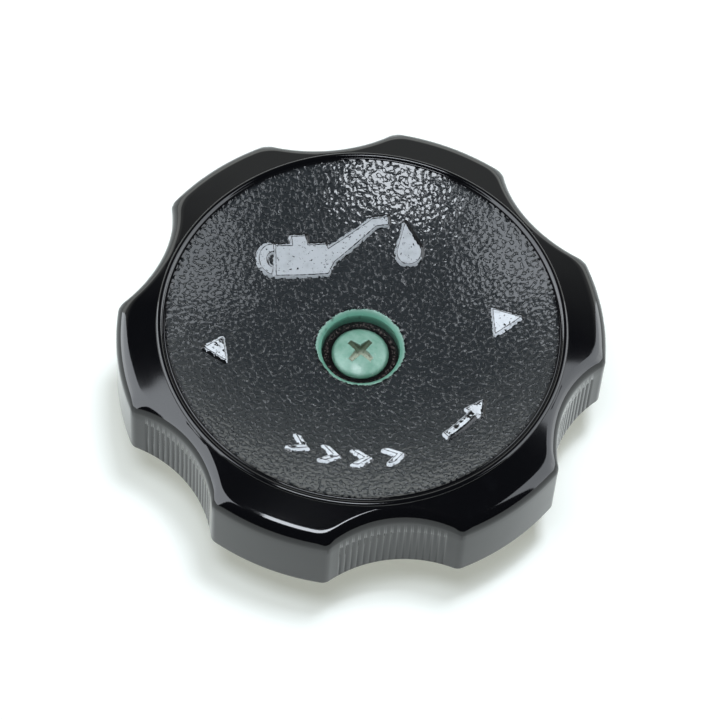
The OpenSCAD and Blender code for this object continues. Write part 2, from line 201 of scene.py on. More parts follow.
def ramp(tree, value, start, end, low=0.0, high=1.0, smooth=True):
    """A value's climb from low at start to high at end, level beyond both."""
    kind = "SMOOTHSTEP" if smooth else "LINEAR"
    ends = {"Value": value, "From Min": start, "From Max": end, "To Min": low, "To Max": high}
    return add(tree, "MapRange", ends, interpolation_type=kind).outputs[0]


def noise(tree, place, size, detail=2.0, roughness=0.5):
    """Noise whose blotches are about one size across, in metres."""
    values = {"Vector": place, "Scale": 1 / size, "Detail": detail, "Roughness": roughness}
    return add(tree, "TexNoise", values).outputs["Fac"]


def mixed(tree, share, a, b):
    """Two colours, or two values, mixed. A colour is a hex name or an output."""
    a, b = (linear(c) if isinstance(c, str) else c for c in (a, b))
    return add(tree, "Mix", {"Factor": share, "A": a, "B": b}, data_type="RGBA").outputs["Result"]


def bumps(tree, height, depth, normal=None):
    """A normal tilted by a height whose full range is a depth in metres, laid over another normal."""
    values = {"Height": height, "Distance": depth}
    if normal is not None:
        values["Normal"] = normal
    return add(tree, "Bump", values).outputs[0]


table_paint, tree = new_material("matt_white_table")
matt = add(tree, "BsdfDiffuse", {"Color": linear(table_white)})
light_path = add(tree, "LightPath").outputs
seen = maths(tree, "MAXIMUM", light_path["Is Camera Ray"], light_path["Is Glossy Ray"])
strength = maths(tree, "MULTIPLY", seen, table_glow)
glow = add(tree, "Emission", {"Color": linear(glow_tint), "Strength": strength})
both = add(tree, "AddShader", {0: matt.outputs[0], 1: glow.outputs[0]})
add(tree, "OutputMaterial", {"Surface": both.outputs[0]})
angles = np.arange(96) * 2 * np.pi / 96
rim = np.c_[table_radius * np.cos(angles), table_radius * np.sin(angles), np.zeros(96)]
table_mesh = bpy.data.meshes.new("table")
table_mesh.from_pydata(rim.tolist(), [], [list(range(96))])
table_mesh.materials.append(table_paint)
table = bpy.data.objects.new("table", table_mesh)
scene.collection.objects.link(table)

# Knob
# The real one is a single glossy black moulding: a dished, grained face with a fine bead round it, a plain
# sloping land, six finger scallops with fine grip grooves, and ribs and a spring pocket underneath.
# Its radius is 0.015 under the CAD knob's, so that the finer circle stays inside the CAD's facets. The
# grooves are shallower than the CAD's and the counterbore is narrower.
knob_r, scallop_r, scallop_depth, corner_r = 38.985, 20.0, 4.39, 1.8
skirt_z, knob_h, skirt_chamfer = 11.0, 15.1, 0.4
face_r, dish_depth, land_drop, land_slope = 31.5, 7.5, 0.05, math.radians(15)
edge_r, edge_tilt = 2.7, math.radians(22)
corner_blend, least_blend, blend_inset = 1.6, 0.35, 1.2
height_halvings, inset_halvings, mouth_rounds = 48, 30, 20
groove_r, bead_r, bead_h, bead_sink = 0.28, 0.5, 0.35, 0.1
grip_count, grip_pitch, grip_r, grip_depth, grip_h = 17, 1.05, 0.32, 0.16, 9.5
wall_t, web_t, rib_t, rib_count = 2.8, 3.0, 1.8, 12
counterbore_r, counterbore_chamfer, seat_z = 6.3, 0.6, 15.55
bore_r, socket_z, boss_z, boss_r, socket_af = 2.75, 12.5, 11.0, 9.217, 13.8
rib_z, pocket_r, pocket_roof_z, ring_t = 13.9, 12.417, 15.95, 1.6
face_z = skirt_z + knob_h
dish_r = (face_r ** 2 + dish_depth ** 2) / (2 * dish_depth)
dish_z = face_z - dish_depth + dish_r
scallop_s = knob_r - scallop_depth + scallop_r
sixth = math.pi / 3


def dish_height(r, sink=0.0):
    """Height at radius r of the dish's sphere, or of one larger by sink about the same centre."""
    return dish_z - np.sqrt((dish_r + sink) ** 2 - np.asarray(r, float) ** 2)


def land_height(r):
    """Height of the sloping land: a straight line down and out from just below the face rim."""
    return face_z - land_drop - (r - face_r) * math.tan(land_slope)


round_x = knob_r - edge_r
tangent_x = round_x + edge_r * math.sin(land_slope)
round_z = land_height(tangent_x) - edge_r * math.cos(land_slope)
ring_in_r = scallop_r * math.cos(edge_tilt) - edge_r * (1 - math.cos(edge_tilt))
ring_end_h = -edge_r * (1 - math.sin(edge_tilt))
ring_wall_r = ring_in_r + edge_r * (1 - math.cos(edge_tilt))
ring_x = knob_r - scallop_depth + ring_wall_r * math.cos(edge_tilt) - ring_end_h * math.sin(edge_tilt)
ring_r = ring_in_r + edge_r
ring_z = land_height(ring_x - ring_r * math.cos(edge_tilt)) - ring_r * math.sin(edge_tilt)


def lobe_height(r):
    """Top of a lobe at radius r: the land, then a quarter round whose circle it meets."""
    over = np.clip(r - round_x, 0, edge_r)
    return np.where(r < tangent_x, land_height(r), round_z + np.sqrt(edge_r ** 2 - over ** 2))


def scallop_height(r, angle):
    """Top of a scallop's rounded edge, a tube bent to a ring that leans out by edge_tilt. Halving the range
    finds the height at which a point's height in the ring's own frame equals the tube's."""
    off = np.mod(angle, sixth) - sixth / 2
    u, v = r * np.cos(off) - ring_x, r * np.sin(off)
    low, high = np.full(np.shape(r), skirt_z - 20.0), np.full(np.shape(r), face_z + 20.0)
    for _ in range(height_halvings):
        middle = (low + high) / 2
        along = u * math.cos(edge_tilt) - (middle - ring_z) * math.sin(edge_tilt)
        h = u * math.sin(edge_tilt) + (middle - ring_z) * math.cos(edge_tilt)
        inside = np.clip(ring_r - np.hypot(along, v), 0, edge_r)
        above = h > np.maximum(np.sqrt(edge_r ** 2 - inside ** 2) - edge_r, ring_end_h)
        low, high = np.where(above, low, middle), np.where(above, middle, high)
    return (low + high) / 2


def inset_from_edge(r, angle):
    """Distance in from the plan's outline, and the share of it that is the lobe's: the smaller of the
    distances from the lobe's circle and the scallop's, blended by a parabola to turn corners softly."""
    off = np.mod(angle, sixth) - sixth / 2
    a, b = knob_r - r, np.hypot(scallop_s - r * np.cos(off), r * np.sin(off)) - scallop_r
    further_in = np.clip(np.minimum(a, b) / blend_inset, 0, 1)
    blend = corner_blend * (least_blend + (1 - least_blend) * further_in)
    share = np.clip(0.5 + 0.5 * (b - a) / blend, 0, 1)
    return b * (1 - share) + a * share - blend * share * (1 - share), share


def knob_top(r, angle):
    """Top of the knob: the land, less the drop that the lobe's or the scallop's round has at this inset."""
    inset, share = inset_from_edge(r, angle)
    inset = np.maximum(inset, 0)
    off = np.mod(angle, sixth) - sixth / 2
    turn = np.arctan2(r * np.sin(off), scallop_s - r * np.cos(off))
    u, v = scallop_s - (scallop_r + inset) * np.cos(turn), (scallop_r + inset) * np.sin(turn)
    at = np.hypot(u, v)
    scallop_drop = land_height(at) - scallop_height(at, np.arctan2(v, u) + sixth / 2)
    lobe_drop = land_height(knob_r - inset) - lobe_height(knob_r - inset)
    return land_height(r) - np.maximum(scallop_drop * (1 - share) + lobe_drop * share, 0)


# The outer columns: positions along half of the plan's outline, closer at the corners and at the grooves.
far = knob_r - corner_r
corner_turn = math.acos((far ** 2 + scallop_s ** 2 - (scallop_r + corner_r) ** 2) / (2 * far * scallop_s))
corner_angle = sixth / 2 - corner_turn
corner_point = np.array([scallop_s, 0]) + scallop_r * (
    far * np.array([math.cos(corner_turn), math.sin(corner_turn)]) - [scallop_s, 0]) / (scallop_r + corner_r)
corner_end = sixth / 2 - math.atan2(corner_point[1], corner_point[0])
groove_steps = np.linspace(-grip_r, grip_r, 7)
groove_middles = (np.arange(grip_count) - (grip_count - 1) / 2) * grip_pitch
along_wall = (groove_middles[:, None] + groove_steps).ravel()
wall_end = scallop_r * math.asin(corner_point[1] / scallop_r) - 0.12
plain_wall = np.linspace(along_wall[-1] + 0.25, wall_end, 9)
along_wall = np.r_[-plain_wall[::-1], along_wall, plain_wall]
bend = along_wall / scallop_r
scallop_angle = sixth / 2 + np.arctan2(scallop_r * np.sin(bend), scallop_s - scallop_r * np.cos(bend))
no_wall = 99.0
half_lobe = np.r_[np.linspace(0, corner_angle, 20)[:-1], np.linspace(corner_angle, corner_end, 13)]
one_lobe = np.r_[half_lobe, scallop_angle, sixth - half_lobe[:0:-1]]
outer_angle = (np.arange(6)[:, None] * sixth + one_lobe).ravel()
off_wall = np.full(len(half_lobe), no_wall)
wall_s = np.tile(np.r_[off_wall, along_wall, off_wall[1:]], 6)
from_groove = np.min(np.abs(wall_s[:, None] - groove_middles), axis=1)
groove_cut = grip_depth * (1 + np.cos(np.pi * np.clip(from_groove / grip_r, 0, 1))) / 2


def plan_radius(angle, wall=0.0):
    """Radius of the plan's outline at an angle: the lobe circle, the corner's round, or the scallop's circle.
    With a wall, the outline drawn in by that wall, with plain corners."""
    off = np.mod(angle, sixth) - sixth / 2
    side = np.abs(np.abs(off) - corner_turn)
    reach = scallop_s * np.cos(off)
    hollow = reach - np.sqrt(np.clip((scallop_r + wall) ** 2 - (scallop_s * np.sin(off)) ** 2, 0, None))
    if wall:
        in_scallop = (scallop_r + wall) > np.abs(scallop_s * np.sin(off))
        return np.minimum(knob_r - wall, np.where(in_scallop, hollow, knob_r))
    corner = far * np.cos(side) + np.sqrt(np.clip(corner_r ** 2 - (far * np.sin(side)) ** 2, 0, None))
    on_lobe = np.abs(off) >= corner_turn
    on_corner = ~on_lobe & (np.abs(off) > sixth / 2 - corner_end)
    return np.where(on_lobe, knob_r, np.where(on_corner, corner, hollow))


def ring_points(r, z, angle):
    """Points at radius r and height z along a row of angles."""
    r, z = np.broadcast_to(r, angle.shape), np.broadcast_to(z, angle.shape)
    return np.c_[r * np.cos(angle), r * np.sin(angle), z]


def even(count):
    """A full turn of evenly spaced angles."""
    return np.arange(count) * 2 * np.pi / count


def wall_points(z, groove_share, chamfer):
    """A row round the skirt: the outline, cut back by the grooves or by the foot's chamfer, whichever is
    deeper. A scallop's points move along its own radius, and a lobe's along the knob's."""
    cut = np.maximum(groove_cut * groove_share, chamfer)
    lobe_index = np.repeat(np.arange(6), len(one_lobe))
    in_scallop = wall_s < no_wall
    turn = np.where(in_scallop, wall_s, 0) / scallop_r
    u, v = scallop_s - (scallop_r + cut) * np.cos(turn), (scallop_r + cut) * np.sin(turn)
    radius = np.where(in_scallop, np.hypot(u, v), plan_radius(outer_angle) - chamfer)
    angle = np.where(in_scallop, (lobe_index + 0.5) * sixth + np.arctan2(v, u), outer_angle)
    return ring_points(radius, z, angle)


# Rings from the screw's hole over the face, down the skirt and back under the web to the hole
grain_cell = 0.25
mouth_z = dish_height(counterbore_r) - counterbore_chamfer
mouth_r = counterbore_r + counterbore_chamfer
for _ in range(mouth_rounds):
    mouth_r = counterbore_r + dish_height(mouth_r) - mouth_z
chamfer_top = (mouth_r - 0.06, mouth_z + mouth_r - counterbore_r - 0.06)
counterbore_rows = ((bore_r, seat_z), (counterbore_r - 0.1, seat_z), (counterbore_r, seat_z + 0.1),
                    (counterbore_r, mouth_z - 0.9), (counterbore_r, mouth_z - 0.05),
                    (counterbore_r + 0.05, mouth_z + 0.05), chamfer_top)
rings = [ring_points(r, z, even(120)) for r, z in counterbore_rows]
lip_angle = math.pi + math.asin(face_r / dish_r)
lip_r = face_r + groove_r * math.cos(lip_angle)
zones = [mouth_r, 10.0, 14.0, 19.0, 25.0, lip_r]
for inner, outer in zip(zones, zones[1:]):
    count = 12 * round(2 * math.pi * outer / grain_cell / 12)
    steps = round((outer - inner) / grain_cell)
    for r in np.linspace(inner, outer, steps, endpoint=outer == lip_r):
        rings.append(ring_points(r, dish_height(r), even(count)))
face_rings = (len(counterbore_rows), len(rings))
bead_ring_r = face_r + groove_r + bead_r - bead_sink
bead_z = land_height(bead_ring_r) + bead_h - bead_r
touch = math.atan2(bead_z - face_z, bead_ring_r - face_r)
sunk = math.acos((bead_r - bead_h) * math.cos(land_slope) / bead_r)
for a in np.linspace(lip_angle, 2 * math.pi + touch, 7)[1:]:
    rings.append(ring_points(face_r + groove_r * math.cos(a), face_z + groove_r * math.sin(a), even(count)))
for a in np.linspace(math.pi + touch, math.pi / 2 - land_slope - sunk, 10)[1:]:
    rings.append(ring_points(bead_ring_r + bead_r * math.cos(a), bead_z + bead_r * math.sin(a), even(count)))
land_in = bead_ring_r + bead_r * math.cos(math.pi / 2 - land_slope - sunk) + 0.05

# Rows over the land, then down the rounded edge, each row at one inset that is found by halving
outline_r = plan_radius(outer_angle)


def radius_at_inset(inset):
    """The radius along each outer column at which the inset from the edge has a value."""
    low, high = np.full(len(outer_angle), land_in), np.full(len(outer_angle), knob_r)
    for _ in range(inset_halvings):
        middle = (low + high) / 2
        further_in = inset_from_edge(middle, outer_angle)[0] > inset
        low, high = np.where(further_in, middle, low), np.where(further_in, high, middle)
    return low


edge_w, edge_rows = 2.2, 12
edge_in = np.maximum(radius_at_inset(edge_w), land_in + 0.25)
land_rows = [np.full(len(outer_angle), land_in), land_in + (edge_in - land_in) * 0.55]
for t in np.sin(np.linspace(0, math.pi / 2, edge_rows)):
    row = np.maximum(radius_at_inset(edge_w * (1 - t)), edge_in - 0.01)
    land_rows.append(row + (outline_r - radius_at_inset(0)) * t)
rings += [ring_points(r, knob_top(r, outer_angle), outer_angle) for r in land_rows]
grip_top = skirt_z + grip_h
rings += [wall_points(grip_top + 0.06, 0, 0), wall_points(grip_top - 0.08, 0.8, 0),
          wall_points(grip_top - 0.25, 1, 0), wall_points(skirt_z + 1.0, 1, 0),
          wall_points(skirt_z + skirt_chamfer, 0, 0), wall_points(skirt_z, 0, skirt_chamfer)]
inner_angle = even(360)
inner_r = plan_radius(inner_angle, wall_t)
roof_z = skirt_z + knob_h - edge_r - web_t / 2
rings += [ring_points(inner_r, skirt_z, inner_angle), ring_points(inner_r, roof_z - 0.4, inner_angle),
          ring_points(inner_r - 0.4, roof_z, inner_angle)]
ring_out_r = pocket_r + ring_t
for r in (29.0, 26.0, 23.0, 20.0, 17.0, ring_out_r + 0.4, ring_out_r):
    rings.append(ring_points(r, min(roof_z, float(dish_height(r, web_t))), inner_angle))
rings += [ring_points(r, z, inner_angle) for r, z in (
    (ring_out_r, rib_z), (pocket_r, rib_z), (pocket_r, pocket_roof_z), (boss_r, pocket_roof_z),
    (boss_r, boss_z + 0.3), (boss_r - 0.3, boss_z))]
socket_r = (socket_af / 2 + 0.05) / np.cos(np.mod(inner_angle, sixth) - sixth / 2)
rings += [ring_points(socket_r, boss_z, inner_angle), ring_points(socket_r, socket_z, inner_angle),
          ring_points(bore_r, socket_z, even(120))]


def joined_rings(rings, closed=True):
    """Faces between neighbouring rings. Two rings of one count are joined by quads. Otherwise each edge of
    one ring takes the last point of the other before the edge's end, which laces them with triangles."""
    starts = np.cumsum([0] + [len(r) for r in rings])
    quads, triangles = [], []
    pairs = list(range(len(rings) - 1)) + ([len(rings) - 1] if closed else [])
    for i in pairs:
        j = (i + 1) % len(rings)
        n, m = len(rings[i]), len(rings[j])
        a, b = np.arange(n), np.arange(m)
        if n == m:
            after = (a + 1) % n
            quads.append(np.c_[starts[i] + a, starts[j] + a, starts[j] + after, starts[i] + after])
            continue
        at_a = np.r_[np.mod(np.arctan2(rings[i][:, 1], rings[i][:, 0]) + 1e-9, 2 * np.pi), 2 * np.pi]
        at_b = np.r_[np.mod(np.arctan2(rings[j][:, 1], rings[j][:, 0]) + 1e-9, 2 * np.pi), 2 * np.pi]
        k = np.searchsorted(at_b, at_a[1:] - 1e-8, "left") - 1
        triangles.append(np.c_[starts[i] + a, starts[j] + k, starts[i] + (a + 1) % n])
        k = np.searchsorted(at_a, at_b[1:] + 1e-8, "right") - 1
        triangles.append(np.c_[starts[j] + b, starts[j] + (b + 1) % m, starts[i] + k % n])
    return quads, triangles


def build_mesh(name, points, quads, triangles=(), polygons=(), sharp=math.radians(35)):
    """A mesh from points in millimetres, shaded smooth except across edges sharper than the angle given."""
    made = bpy.data.meshes.new(name)
    faces = [f for group in (*quads, *triangles) for f in group.tolist()] + [list(p) for p in polygons]
    made.from_pydata((np.asarray(points) * mm).tolist(), [], faces)
    made.validate()
    made.polygons.foreach_set("use_smooth", np.ones(len(made.polygons), bool))
    made.set_sharp_from_angle(angle=sharp)
    return made


def place_piece(name, mesh, material, body):
    """A finished piece at the origin with its material, riding on a body of the part."""
    made = bpy.data.objects.new(name, mesh)
    mesh.materials.append(material)
    scene.collection.objects.link(made)
    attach(made, body)
    return made


def grain(x, y, wavelength, seed, waves=150):
    """A random field of one scale, about -2 to 2: the sum of many plane waves of random heading and phase,
    over the root of half their number. Their lengths spread by about a third round the wavelength."""
    rng = np.random.default_rng(seed)
    heading, phase = rng.uniform(0, 2 * np.pi, (2, waves))
    number = 2 * np.pi / (wavelength * rng.uniform(0.75, 1.35, waves))
    total = np.zeros_like(x)
    for k, h, p in zip(number, heading, phase):
        total += np.cos(k * (x * np.cos(h) + y * np.sin(h)) + p)
    return total / math.sqrt(waves / 2)


grain_wavelength, grain_rise = 0.98, 0.02
points = np.vstack(rings)
starts = np.cumsum([0] + [len(r) for r in rings])
on_face = np.zeros(len(points), bool)
on_face[starts[face_rings[0]]:starts[face_rings[1]]] = True
radius = np.hypot(points[:, 0], points[:, 1])
field = np.zeros(len(points))
field[on_face] = grain(points[on_face, 0], points[on_face, 1], grain_wavelength, 11)
margin = np.where(on_face, np.clip((radius - mouth_r) / 0.7, 0, 1) * np.clip((lip_r - radius) / 0.6, 0, 1), 0)
step = np.clip((field - 0.3) / 1.1, 0, 1)
rise = grain_rise * margin * step * step * (3 - 2 * step)
towards_centre = np.array([0, 0, dish_z]) - points
points = points + towards_centre / np.linalg.norm(towards_centre, axis=1)[:, None] * rise[:, None]
quads, triangles = joined_rings(rings)

# Ribs from the spring ring to the skirt, their tops buried in the web
rib_stations = 8
rib_faces = []
for i in range(rib_count):
    turn = i * 2 * math.pi / rib_count
    reach = (knob_r if i % 2 == 0 else knob_r - scallop_depth) - wall_t / 2
    r = np.linspace(pocket_r + ring_t / 2, reach, rib_stations)
    top = np.minimum(dish_height(r, web_t / 2), roof_z + 0.6)
    foot = np.full(rib_stations, rib_z + 0.5)
    corners = ((-1, foot), (1, foot), (1, top), (-1, top))
    loop = [np.c_[r, np.full(rib_stations, s * rib_t / 2), z] for s, z in corners]
    first = len(points)
    points = np.vstack([points, turned(np.vstack(loop), turn)])
    a = np.arange(rib_stations - 1)
    for j in range(4):
        low, high = first + j * rib_stations + a, first + (j + 1) % 4 * rib_stations + a
        rib_faces.append(np.c_[low, high, high + 1, low + 1][:, ::-1])
    ends = first + np.arange(4) * rib_stations
    rib_faces.append(np.array([ends, (ends + rib_stations - 1)[::-1]]))
knob_mesh = build_mesh("knob_moulding", points, quads + rib_faces, triangles)
knob_field = np.zeros(len(points))
knob_field[:len(field)] = field
knob_margin = np.zeros(len(points))
knob_margin[:len(margin)] = margin
for name, values in (("grain", knob_field), ("face", knob_margin)):
    knob_mesh.attributes.new(name, "FLOAT", "POINT").data.foreach_set("value", values)


def finish_surface(tree, colour, roughness, normal=None, **sockets):
    """A principled surface as the material's output. Other sockets are named with _ for a space."""
    colour = linear(colour) if isinstance(colour, str) else colour
    values = {"Base Color": colour, "Roughness": roughness}
    values |= {name.replace("_", " "): value for name, value in sockets.items()}
    if normal is not None:
        values["Normal"] = normal
    shader = add(tree, "BsdfPrincipled", values)
    add(tree, "OutputMaterial", {"Surface": shader.outputs[0]})


def object_place(tree):
    """The place on the object."""
    return add(tree, "TexCoord").outputs["Object"]


def axis_distance(tree, place):
    """A place's distance from the cap's axis."""
    spot = add(tree, "SeparateXYZ", {0: place}).outputs
    flat = add(tree, "CombineXYZ", {"X": spot["X"], "Y": spot["Y"]}).outputs[0]
    return add(tree, "VectorMath", {0: flat}, operation="LENGTH").outputs["Value"]


# Black moulding compound: glossy, with faint ripples and handling smears. On the face the same gloss lies
# over steep-sided grain, and its skin is a little hazed. Green paint lines the counterbore, with a ragged
# rim.
moulding_black, face_haze, smear_grey = "#060608", "#2a2d2f", "#141619"
paint_green, pale_paint_and_rim_light = "#679f8a", "#84a99a"
moulding_ior, land_roughness, face_roughness = 1.5, 0.07, 0.1
moulding, tree = new_material("glossy_black_moulding")
place = object_place(tree)
from_axis = axis_distance(tree, place)
level = add(tree, "SeparateXYZ", {0: place}).outputs["Z"]
grain_value = add(tree, "Attribute", attribute_name="grain").outputs["Fac"]
face_mask = add(tree, "Attribute", attribute_name="face").outputs["Fac"]
fine_grain = ramp(tree, noise(tree, place, 0.45 * mm, 1.0), 0, 1, -1.1, 1.1, False)
worms = maths(tree, "MULTIPLY", ramp(tree, maths(tree, "ADD", grain_value, fine_grain), 0.0, 1.25), face_mask)
skin = maths(tree, "MULTIPLY", noise(tree, place, 0.65 * mm, 0.0), face_mask)
normal = bumps(tree, noise(tree, place, 9 * mm, 1.0), 0.05 * mm)
normal = bumps(tree, skin, 0.075 * mm, normal)
normal = bumps(tree, worms, 0.17 * mm, normal)
smear = ramp(tree, noise(tree, place, 14 * mm, 5.0, 0.65), 0.6, 0.85)
black = mixed(tree, smear, moulding_black, smear_grey)
black = mixed(tree, face_mask, black, face_haze)
gloss = ramp(tree, face_mask, 0, 1, land_roughness, face_roughness, False)
ragged = ramp(tree, noise(tree, place, 0.5 * mm, 6.0, 0.75), 0.2, 0.8, -0.3 * mm, 0.3 * mm, False)
wander = ramp(tree, noise(tree, place, 3.5 * mm, 2.0), 0, 1, -0.35 * mm, 0.35 * mm, False)
paint_edge = maths(tree, "ADD", from_axis, maths(tree, "ADD", ragged, wander))
painted = ramp(tree, paint_edge, 7.12 * mm, 7.02 * mm)
painted = maths(tree, "MULTIPLY", painted, ramp(tree, level, 15.5 * mm, 15.7 * mm))
# The paint pales over the mouth's chamfer: it is thinner there, and painted light stands for the light the
# chamfer catches.
green = mixed(tree, ramp(tree, from_axis, 6.5 * mm, 7.0 * mm), paint_green, pale_paint_and_rim_light)
grime = ramp(tree, noise(tree, place, 1.6 * mm, 5.0, 0.6), 0.58, 0.75, 0, 0.8)
green = mixed(tree, grime, green, "#284439")
colour = mixed(tree, painted, black, green)
gloss = add(tree, "Mix", {"Factor": painted, "A": gloss, "B": 0.42}).outputs[0]
finish_surface(tree, colour, gloss, normal, IOR=moulding_ior)
knob = place_piece("knob_moulding", knob_mesh, moulding, "cap_body")
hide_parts("knob")

# Raised signs
# Low pads with sloping walls, moulded in one with the knob's face: an oil can with one drop, four chevrons
# and an arrow for the way to turn, and two triangles. White paint, stamped a little off register, is worn.
# Each sign has its loops, how worn its paint is from 0 to 1, and how far the stamp missed it.
sign_rise, sign_draft, sign_sunk, sign_step = 0.45, 0.55, 0.1, 0.1


def depth_inside(x, y, loop):
    """Signed distance to a loop's edge, positive inside: the nearest edge's distance, its sign from how many
    edges a line to the right crosses."""
    a = np.asarray(loop, float)
    b = np.roll(a, -1, axis=0)
    e = b - a
    dx, dy = x[..., None] - a[:, 0], y[..., None] - a[:, 1]
    t = np.clip((dx * e[:, 0] + dy * e[:, 1]) / (e ** 2).sum(1), 0, 1)
    away = np.hypot(dx - t * e[:, 0], dy - t * e[:, 1]).min(-1)
    slope = e[:, 0] / np.where(e[:, 1] == 0, 1, e[:, 1])
    crosses = ((a[:, 1] <= y[..., None]) != (b[:, 1] <= y[..., None])) & (dx < dy * slope)
    return np.where(crosses.sum(-1) % 2 == 1, away, -away)


def on_dish(x, y, rise):
    """Points that stand above the dish, along the line to its centre."""
    base = np.stack([x, y, dish_height(np.hypot(x, y))], -1)
    inward = np.array([0, 0, dish_z]) - base
    return base + inward / np.linalg.norm(inward, axis=-1)[..., None] * np.asarray(rise)[..., None]


def arc(centre, radius, start, end, count):
    """Points along an arc, its angles in degrees."""
    t = np.radians(np.linspace(start, end, count))
    return np.c_[centre[0] + radius * np.cos(t), centre[1] + radius * np.sin(t)]


def drop_loop(centre, radius, height):
    """A drop: a circle and the point above it from which its two sides run straight to touch the circle."""
    tangent = math.degrees(math.acos(radius / height))
    round_part = arc(centre, radius, 90 + tangent, 450 - tangent, 25)
    return np.vstack([[[centre[0], centre[1] + height]], round_part])


def round_the_axis(loop, angle, radius):
    """A loop drawn about its own origin, moved out to a radius and headed anticlockwise at an angle."""
    c, s = math.cos(math.radians(angle)), math.sin(math.radians(angle))
    loop = np.asarray(loop, float)
    return np.c_[-loop[:, 0] * s + (radius + loop[:, 1]) * c, loop[:, 0] * c + (radius + loop[:, 1]) * s]


arrow_r, arrow_w, arrow_start, arrow_neck, arrow_tip, arrow_head_w = 22.4, 1.15, -61.2, -45.6, -38.8, 2.9
chevron = [(-1.5, 1.55), (-0.65, 1.55), (1.3, 0), (-0.65, -1.55), (-1.5, -1.55), (0.35, 0)]
can_body = [(-12.0, 13.5), (-3.5, 13.5), (-2.3, 15.4), (5.2, 20.5), (7.3, 20.5), (7.3, 21.7), (4.8, 21.7),
            (-3.0, 17.6), (-3.3, 18.4), (-6.3, 18.4), (-6.3, 19.9), (-8.7, 19.9), (-8.7, 18.4), (-11.5, 18.4)]
can_handle = np.vstack([arc((-11.9, 16.1), 2.6, 90, 250, 12), arc((-11.9, 16.1), 1.4, 250, 90, 12)])
signs = [
    ([can_body, can_handle], 0.05, (-0.55, -0.3)),
    ([drop_loop((10.0, 15.4), 1.95, 4.9)], 0.0, (-0.55, -0.3)),
    ([[(21.7, 2.6), (21.4, -1.9), (25.7, -0.2)]], 0.45, (-0.5, -0.1)),
    ([[(-22.1, 2.1), (-25.3, 0.0), (-22.1, -2.1)]], 0.65, (0.5, 0.1)),
    ([np.vstack([arc((0, 0), arrow_r - arrow_w / 2, arrow_start, arrow_neck, 12),
                 [arc((0, 0), arrow_r - arrow_head_w / 2, arrow_neck, 0, 2)[0],
                  arc((0, 0), arrow_r, arrow_tip, 0, 2)[0],
                  arc((0, 0), arrow_r + arrow_head_w / 2, arrow_neck, 0, 2)[0]],
                 arc((0, 0), arrow_r + arrow_w / 2, arrow_neck, arrow_start, 12)])], 0.75, (-0.45, 0.4)),
]
signs += [([round_the_axis(chevron, a, 22.3)], 0.6, (-0.45, -0.25)) for a in (-123.4, -110.2, -97.6, -84.2)]

points, quads, stamp, edge, worn = [], [], [], [], []
total = 0
for loops, wear, shift in signs:
    corners = np.vstack(loops)
    (x0, y0), (x1, y1) = corners.min(0) - sign_draft - 0.3, corners.max(0) + sign_draft + 0.3
    x, y = np.meshgrid(np.arange(x0, x1, sign_step), np.arange(y0, y1, sign_step))
    depth = np.max([depth_inside(x, y, loop) for loop in loops], axis=0)
    shifted = np.max([depth_inside(x - shift[0], y - shift[1], loop) for loop in loops], axis=0)
    climb = np.clip(1 + depth / sign_draft, 0, 1)
    climb = 0.4 * climb + 0.6 * climb * climb * (3 - 2 * climb)
    rise = np.where(depth > -sign_draft, sign_rise * climb, -sign_sunk)
    keep = depth > -sign_draft - 0.16
    number = np.full(x.shape, -1)
    number[keep] = total + np.arange(keep.sum())
    cells = np.stack([number[:-1, :-1], number[:-1, 1:], number[1:, 1:], number[1:, :-1]], -1).reshape(-1, 4)
    quads.append(cells[(cells >= 0).all(1)])
    points.append(on_dish(x, y, rise)[keep])
    stamp.append(shifted[keep] + sign_draft)
    edge.append(depth[keep])
    worn.append(np.full(keep.sum(), wear))
    total += keep.sum()
sign_mesh = build_mesh("raised_signs", np.vstack(points), quads, sharp=math.radians(60))
for name, values in (("stamp", stamp), ("edge", edge), ("worn", worn)):
    sign_mesh.attributes.new(name, "FLOAT", "POINT").data.foreach_set("value", np.concatenate(values))

# Stamped white paint over the black moulding. It is missing past its ragged outline, along the top's edges,
# in small chips, and in larger patches on the signs that are more worn.
sign_paint, tree = new_material("worn_white_paint")
place = object_place(tree)
stamp_value = add(tree, "Attribute", attribute_name="stamp").outputs["Fac"]
edge_value = add(tree, "Attribute", attribute_name="edge").outputs["Fac"]
worn_value = add(tree, "Attribute", attribute_name="worn").outputs["Fac"]
ragged = ramp(tree, noise(tree, place, 0.6 * mm, 4.0), 0.3, 0.7, -0.22, 0.22, False)
inside = ramp(tree, maths(tree, "ADD", stamp_value, ragged), -0.03, 0.03)
foot = ramp(tree, maths(tree, "ADD", edge_value, ragged), -0.5, -0.42)
from_edge = maths(tree, "ABSOLUTE", maths(tree, "ADD", edge_value, 0.02))
line = ramp(tree, maths(tree, "SUBTRACT", from_edge, maths(tree, "MULTIPLY", ragged, 0.2)), 0.02, 0.1)
chips = ramp(tree, noise(tree, place, 0.5 * mm, 5.0, 0.7), 0.625, 0.61)
patch_level = ramp(tree, worn_value, 0, 1, 0.78, 0.46, False)
patches = maths(tree, "LESS_THAN", noise(tree, place, 1.3 * mm, 4.0, 0.6), patch_level)
on_top = ramp(tree, edge_value, 0.0, 0.14)
patches = maths(tree, "MAXIMUM", patches, maths(tree, "SUBTRACT", 1.0, on_top))
painted = inside
for part in (foot, line, chips, patches):
    painted = maths(tree, "MULTIPLY", painted, part)
dirt = ramp(tree, noise(tree, place, 2.2 * mm, 5.0, 0.65), 0.45, 0.8, 0, 0.5)
clean = mixed(tree, ramp(tree, worn_value, 0.1, 0.3), "#aeb2b5", "#d4d8dc")
white = mixed(tree, dirt, clean, "#85898b")
normal = bumps(tree, noise(tree, place, 0.5 * mm, 3.0), 0.012 * mm)
normal = bumps(tree, painted, 0.03 * mm, normal)
gloss = add(tree, "Mix", {"Factor": painted, "A": 0.16, "B": 0.5}).outputs[0]
finish_surface(tree, mixed(tree, painted, "#0c0d0f", white), gloss, normal, IOR=moulding_ior)
